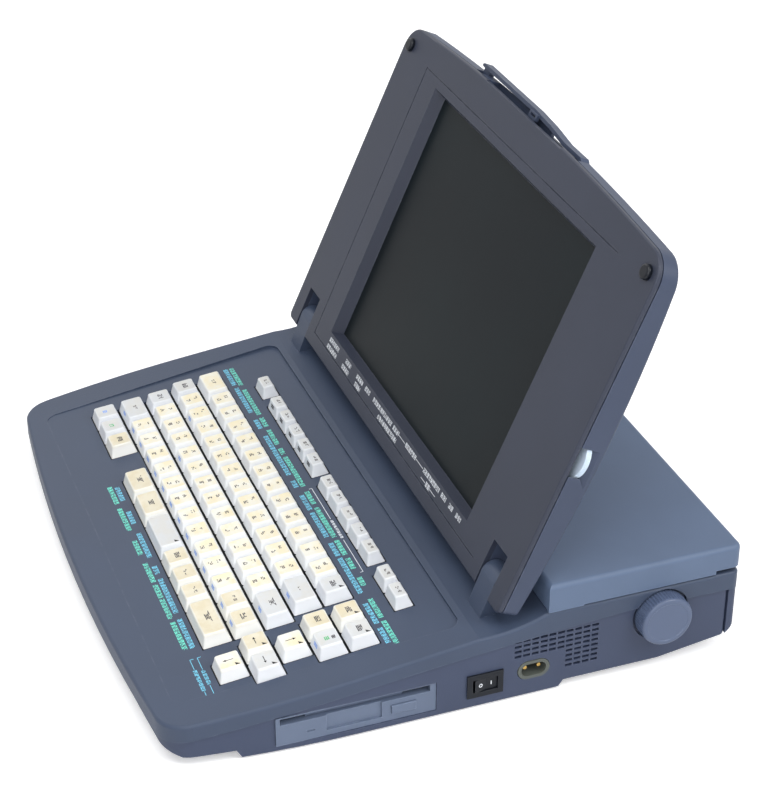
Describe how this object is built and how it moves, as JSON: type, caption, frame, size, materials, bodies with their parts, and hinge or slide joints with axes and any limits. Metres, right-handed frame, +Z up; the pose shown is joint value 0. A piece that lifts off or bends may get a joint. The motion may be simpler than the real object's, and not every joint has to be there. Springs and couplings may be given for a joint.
{
  "type": "portable word processor",
  "caption": "Portable word processor with keyboard, raised hinged screen lid with carrying handle, diskette drive and printer under a rear cover.",
  "frame": {"origin": "middle of the overall width and depth, on the table under the feet, with the lid open", "axes": "+X to the user's right, +Y to the rear, +Z up"},
  "size_m": [0.3964, 0.3591, 0.2763],
  "materials": {
    "case_plastic": "fine grain",
    "lower_plastic": "fine grain",
    "lid_plastic": "fine grain",
    "lid_back_plastic": "fine grain",
    "cover_plastic": "fine grain",
    "knob_plastic": "fine grain",
    "key_cream": "satin",
    "key_grey": "satin",
    "key_beige": "satin",
    "bezel_plastic": "satin",
    "black_plastic": "satin",
    "socket_plastic": "gloss",
    "wheel_plastic": "satin",
    "window_plastic": "gloss",
    "panel_glass": "gloss",
    "light_sheet": "satin",
    "circuit_board": "gloss",
    "frame_plastic": "satin",
    "gear_plastic": "satin",
    "steel": "brushed",
    "plated_steel": "plated",
    "core_steel": "varnished",
    "brass": "polished",
    "rubber": "matt",
    "belt_rubber": "matt"
  },
  "bodies": {
    "case": {"lower_case": "lower_plastic", "upper_case": "case_plastic", "rear_panel": "lower_plastic", "case_screws": "plated_steel", "rubber_feet": "rubber", "keyboard_frame": "frame_plastic", "keyboard_circuit": "circuit_board", "main_board": "circuit_board", "power_supply_board": "circuit_board", "power_transformer": "core_steel", "drive_chassis": "plated_steel", "drive_bezel": "bezel_plastic", "switch_housing": "black_plastic", "mains_inlet": "socket_plastic", "mains_pins": "brass", "printer_frame": "plated_steel", "feed_motor": "steel", "paper_guide": "plated_steel", "carriage_rod": "steel", "carriage_belt": "belt_rubber", "carriage_motor": "steel", "cover_pins": "steel"},
    "lid": {"lid_bezel": "lid_plastic", "lid_back_cover": "lid_back_plastic", "screen_window": "window_plastic", "lcd_panel": "panel_glass", "backlight": "light_sheet", "inverter_board": "circuit_board", "hinge_pins": "steel", "lid_bumpers": "rubber", "handle_pins": "steel"},
    "handle": {"carry_handle": "lid_plastic"},
    "contrast": {"contrast_wheel": "wheel_plastic"},
    "cover": {"printer_cover": "cover_plastic"},
    "platen": {"platen_roller": "rubber", "platen_shaft": "steel", "platen_knob": "knob_plastic", "platen_gear": "gear_plastic"},
    "feed_drive": {"feed_pinion": "gear_plastic"},
    "pinch": {"pinch_rollers": "rubber"},
    "carriage": {"print_carriage": "frame_plastic", "ribbon_cassette": "black_plastic"},
    "belt_drive": {"drive_pulley": "gear_plastic"},
    "belt_idler": {"idler_pulley": "gear_plastic"},
    "dust_door": {"drive_dust_door": "bezel_plastic"},
    "eject": {"drive_eject_button": "bezel_plastic"},
    "spindle": {"drive_spindle": "steel"},
    "head_carriage": {"drive_head_carriage": "gear_plastic"},
    "rocker": {"power_rocker": "black_plastic"},
    "keys_bottom_left": {"keys_bottom_left": "key_grey"},
    "keys_bottom_row": {"keys_bottom_row": "key_beige"},
    "key_space": {"key_space": "key_grey"},
    "keys_lower_row": {"keys_lower_row": "key_cream"},
    "keys_home_row": {"keys_home_row": "key_cream"},
    "keys_upper_row": {"keys_upper_row": "key_cream"},
    "keys_number_row": {"keys_number_row": "key_cream"},
    "keys_function": {"keys_function": "key_grey"},
    "keys_right_pair": {"keys_right_pair": "key_grey"},
    "keys_cursor": {"keys_cursor": "key_cream"},
    "keys_edit_block": {"keys_edit_block": "key_cream"}
  },
  "joints": [
    {"name": "lid_hinge", "type": "hinge", "parent": "case", "child": "lid", "pos_m": [-0.00425, 0.03684, 0.06752], "axis": [1, 0, 0], "range_deg": [-10, 120]},
    {"name": "handle_pivot", "type": "hinge", "parent": "lid", "child": "handle", "pos_m": [-0.01825, 0.12776, 0.26731], "axis": [-1, 0, 0], "range_deg": [0, 40], "stiffness_Nm_per_rad": 0.05, "springref_deg": -14.32},
    {"name": "contrast_turn", "type": "hinge", "parent": "lid", "child": "contrast", "pos_m": [0.17355, 0.07508, 0.1512], "axis": [0, -0.9135, 0.4067], "range_deg": [-135, 135]},
    {"name": "cover_hinge", "type": "hinge", "parent": "case", "child": "cover", "pos_m": [-0.00425, 0.171, 0.052], "axis": [-1, 0, 0], "range_deg": [0, 60]},
    {"name": "platen_turn", "type": "hinge", "parent": "case", "child": "platen", "pos_m": [-0.00425, 0.129, 0.038], "axis": [1, 0, 0], "continuous": true},
    {"name": "feed_drive_turn", "type": "hinge", "parent": "case", "child": "feed_drive", "pos_m": [-0.16375, 0.14979, 0.026], "axis": [1, 0, 0], "continuous": true},
    {"name": "pinch_turn", "type": "hinge", "parent": "case", "child": "pinch", "pos_m": [-0.00425, 0.129, 0.01965], "axis": [1, 0, 0], "continuous": true},
    {"name": "carriage_slide", "type": "slide", "parent": "case", "child": "carriage", "axis": [1, 0, 0], "range_m": [0, 0.228]},
    {"name": "belt_drive_turn", "type": "hinge", "parent": "case", "child": "belt_drive", "pos_m": [0.14775, 0.077, 0.017], "axis": [0, 0, 1], "range_deg": [-1, 1980]},
    {"name": "belt_idler_turn", "type": "hinge", "parent": "case", "child": "belt_idler", "pos_m": [-0.14425, 0.077, 0.017], "axis": [0, 0, 1], "range_deg": [-1, 1980]},
    {"name": "dust_door_hinge", "type": "hinge", "parent": "case", "child": "dust_door", "pos_m": [0.18385, -0.0597, 0.02325], "axis": [0, 1, 0], "range_deg": [0, 80], "stiffness_Nm_per_rad": 0.0002, "springref_deg": -11.46},
    {"name": "eject_push", "type": "slide", "parent": "case", "child": "eject", "axis": [-1, 0, 0], "range_m": [0, 0.005], "stiffness_N_per_m": 150, "springref_m": -0.002},
    {"name": "spindle_turn", "type": "hinge", "parent": "case", "child": "spindle", "pos_m": [0.12465, -0.0597, 0.0088], "axis": [0, 0, 1], "continuous": true},
    {"name": "head_slide", "type": "slide", "parent": "case", "child": "head_carriage", "axis": [1, 0, 0], "range_m": [0, 0.02]},
    {"name": "rocker_tilt", "type": "hinge", "parent": "case", "child": "rocker", "pos_m": [0.18525, 0.01815, 0.0163], "axis": [0, 0, 1], "range_deg": [-14, 0]},
    {"name": "keys_bottom_left_press", "type": "slide", "parent": "case", "child": "keys_bottom_left", "axis": [0, 0.1063, -0.9943], "range_m": [0, 0.0028], "stiffness_N_per_m": 360, "springref_m": -0.003},
    {"name": "keys_bottom_row_press", "type": "slide", "parent": "case", "child": "keys_bottom_row", "axis": [0, 0.1063, -0.9943], "range_m": [0, 0.0028], "stiffness_N_per_m": 720, "springref_m": -0.003},
    {"name": "key_space_press", "type": "slide", "parent": "case", "child": "key_space", "axis": [0, 0.1063, -0.9943], "range_m": [0, 0.0028], "stiffness_N_per_m": 120, "springref_m": -0.003},
    {"name": "keys_lower_row_press", "type": "slide", "parent": "case", "child": "keys_lower_row", "axis": [0, 0.1063, -0.9943], "range_m": [0, 0.0028], "stiffness_N_per_m": 1680, "springref_m": -0.003},
    {"name": "keys_home_row_press", "type": "slide", "parent": "case", "child": "keys_home_row", "axis": [0, 0.1063, -0.9943], "range_m": [0, 0.0028], "stiffness_N_per_m": 1680, "springref_m": -0.003},
    {"name": "keys_upper_row_press", "type": "slide", "parent": "case", "child": "keys_upper_row", "axis": [0, 0.1063, -0.9943], "range_m": [0, 0.0028], "stiffness_N_per_m": 1680, "springref_m": -0.003},
    {"name": "keys_number_row_press", "type": "slide", "parent": "case", "child": "keys_number_row", "axis": [0, 0.1063, -0.9943], "range_m": [0, 0.0028], "stiffness_N_per_m": 1680, "springref_m": -0.003},
    {"name": "keys_function_press", "type": "slide", "parent": "case", "child": "keys_function", "axis": [0, 0.1063, -0.9943], "range_m": [0, 0.0028], "stiffness_N_per_m": 1320, "springref_m": -0.003},
    {"name": "keys_right_pair_press", "type": "slide", "parent": "case", "child": "keys_right_pair", "axis": [0, 0.1063, -0.9943], "range_m": [0, 0.0028], "stiffness_N_per_m": 240, "springref_m": -0.003},
    {"name": "keys_cursor_press", "type": "slide", "parent": "case", "child": "keys_cursor", "axis": [0, 0.1063, -0.9943], "range_m": [0, 0.0028], "stiffness_N_per_m": 480, "springref_m": -0.003},
    {"name": "keys_edit_block_press", "type": "slide", "parent": "case", "child": "keys_edit_block", "axis": [0, 0.1063, -0.9943], "range_m": [0, 0.0028], "stiffness_N_per_m": 480, "springref_m": -0.003}
  ],
  "couplings": [
    {"joint": "feed_drive_turn", "follows": "platen_turn", "ratio": -4},
    {"joint": "pinch_turn", "follows": "platen_turn", "ratio": -3.5},
    {"joint": "belt_drive_turn", "follows": "carriage_slide", "rad_per_m": 151.52},
    {"joint": "belt_idler_turn", "follows": "carriage_slide", "rad_per_m": 151.52}
  ]
}
